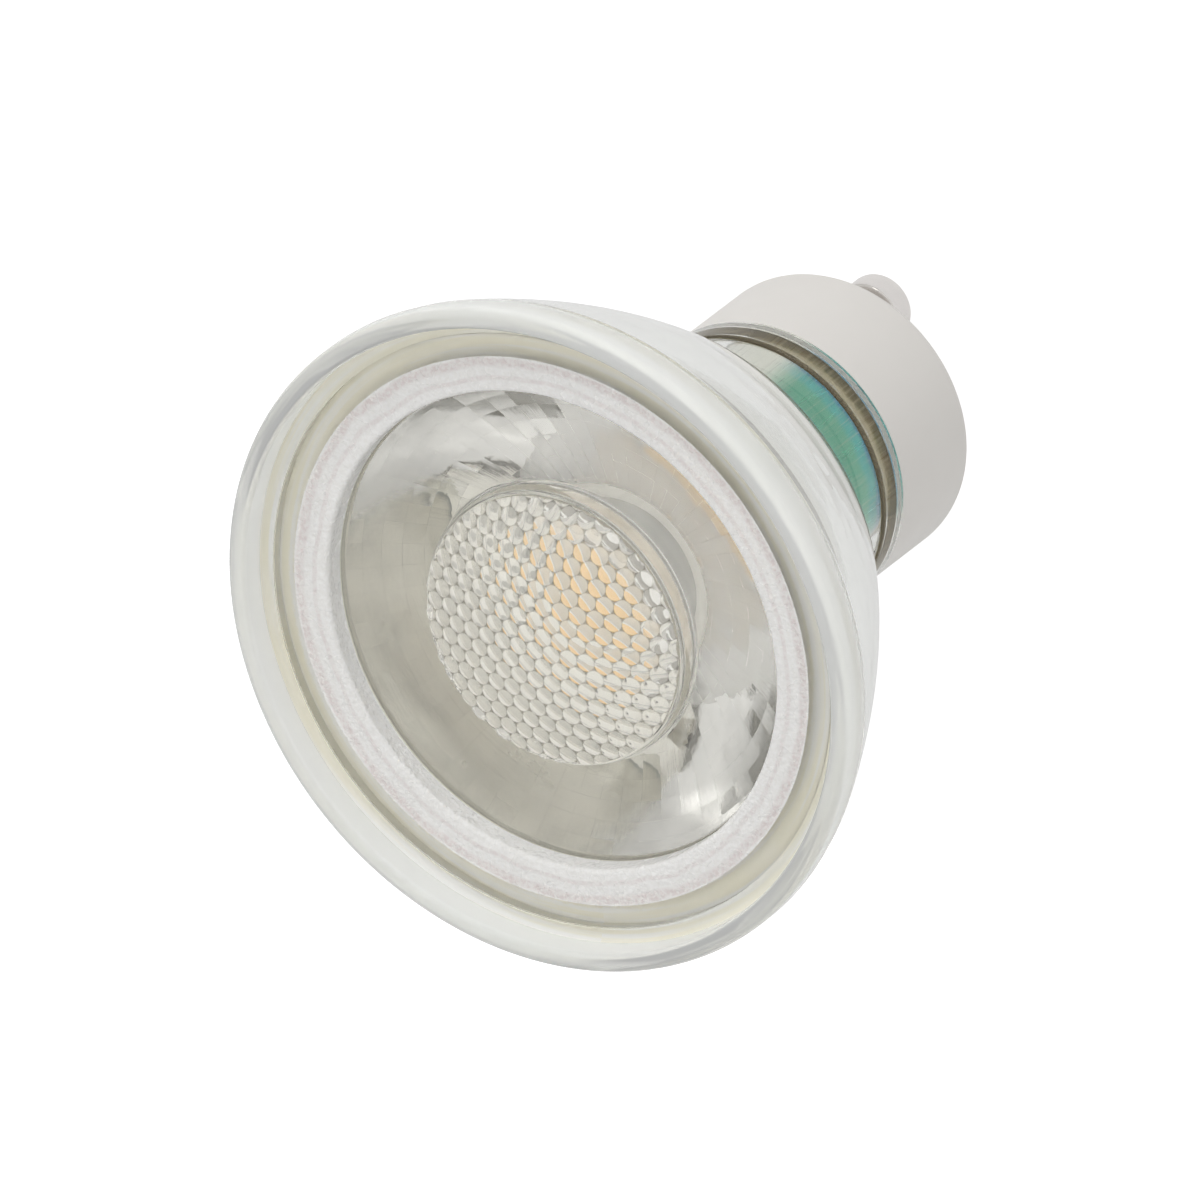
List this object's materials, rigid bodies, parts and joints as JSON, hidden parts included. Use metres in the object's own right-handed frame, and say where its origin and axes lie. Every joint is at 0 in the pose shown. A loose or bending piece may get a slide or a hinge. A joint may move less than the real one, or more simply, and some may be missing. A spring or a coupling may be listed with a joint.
{
  "type": "spotlight bulb",
  "caption": "Reflector-shaped spotlight bulb: clear glass bowl with a moulded honeycomb lens, inner metal liner, driver in the neck and a white twist-and-lock base with mushroom pins.",
  "frame": {"origin": "centre of the base's end face, midway between the two pins", "axes": "+Z along the bulb's axis out through the face; the pins stand on the X axis"},
  "size_m": [0.05, 0.05, 0.0497],
  "materials": {
    "clear_glass": "clear pressed glass, polished",
    "lens_acrylic": "clear moulded acrylic, frosted on the flange",
    "silicone": "translucent silicone, slightly yellowed",
    "liner_metal": "bright spun aluminium",
    "thermal_pad": "matt grey silicone pad",
    "board_white": "white solder mask on a metal core",
    "dam_silicone": "white silicone bead",
    "phosphor": "yellow phosphor in clear silicone",
    "screw_steel": "zinc-plated",
    "solder": "bright solder",
    "lead_insulation_black": "soft insulation",
    "lead_insulation_red": "soft insulation",
    "sleeve_metal": "drawn aluminium with a thin coloured film, green to blue",
    "insulator_plastic": "natural white plastic",
    "board_green": "green solder mask on glass fibre board",
    "capacitor_can": "aluminium can in a dark plain sleeve",
    "film_box": "red-brown moulded box",
    "ferrite": "matt dark ferrite",
    "copper_winding": "enamelled copper wire",
    "package_black": "matt moulded epoxy",
    "resistor_body": "lacquered",
    "chip_ceramic": "fired ceramic",
    "tinned_wire": "tinned copper",
    "cement": "matt cement",
    "base_plastic": "warm white moulded plastic, satin",
    "pin_nickel": "nickel-plated brass"
  },
  "bodies": {
    "root": {"glass_envelope": "clear_glass", "lens": "lens_acrylic", "lens_seal": "silicone", "liner_cup": "liner_metal", "thermal_pad": "thermal_pad", "led_board": "board_white", "led_dam": "dam_silicone", "led_phosphor": "phosphor", "board_screws": "screw_steel", "lead_solder": "solder", "output_lead_left": "lead_insulation_black", "output_lead_right": "lead_insulation_red", "driver_sleeve": "sleeve_metal", "driver_insulator": "insulator_plastic", "driver_board": "board_green", "electrolytic_capacitor": "capacitor_can", "film_capacitor": "film_box", "choke_core": "ferrite", "choke_winding": "copper_winding", "bridge_rectifier": "package_black", "driver_chip": "package_black", "output_diode": "package_black", "fusible_resistor": "resistor_body", "chip_parts": "chip_ceramic", "input_lead_left": "tinned_wire", "input_lead_right": "tinned_wire", "neck_cement": "cement", "base_cap": "base_plastic", "contact_pin_left": "pin_nickel", "contact_pin_right": "pin_nickel"}
  },
  "joints": []
}
